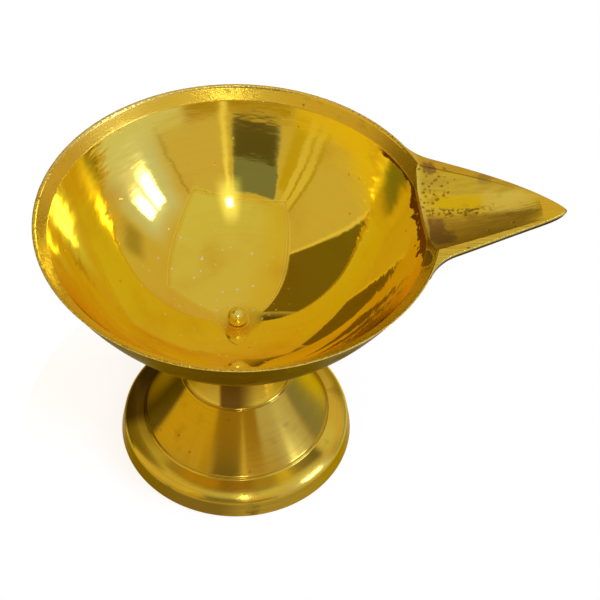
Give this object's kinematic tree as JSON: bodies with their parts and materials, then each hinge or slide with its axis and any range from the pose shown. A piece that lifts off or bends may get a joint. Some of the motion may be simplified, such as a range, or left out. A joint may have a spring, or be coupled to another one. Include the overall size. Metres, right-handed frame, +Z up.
{
  "type": "oil lamp",
  "caption": "Small brass oil lamp: a round open bowl with a pointed spout for the wick, riveted to a turned hollow foot.",
  "frame": {"origin": "on the surface that the lamp stands on, at the middle of its overall length and width; the turning axis of bowl and foot stands at X = -9.5 mm", "axes": "+Z up along the turning axis, +X from the bowl towards the spout's tip, +Y across the spout"},
  "size_m": [0.079, 0.06, 0.0495],
  "materials": {
    "bowl_brass": "polished inside, satin and file-marked on the spout and outside",
    "foot_brass": "satin, lathe-turned",
    "rivet_brass": "polished"
  },
  "bodies": {
    "root": {"bowl": "bowl_brass", "foot": "foot_brass", "rivet": "rivet_brass"}
  },
  "joints": []
}
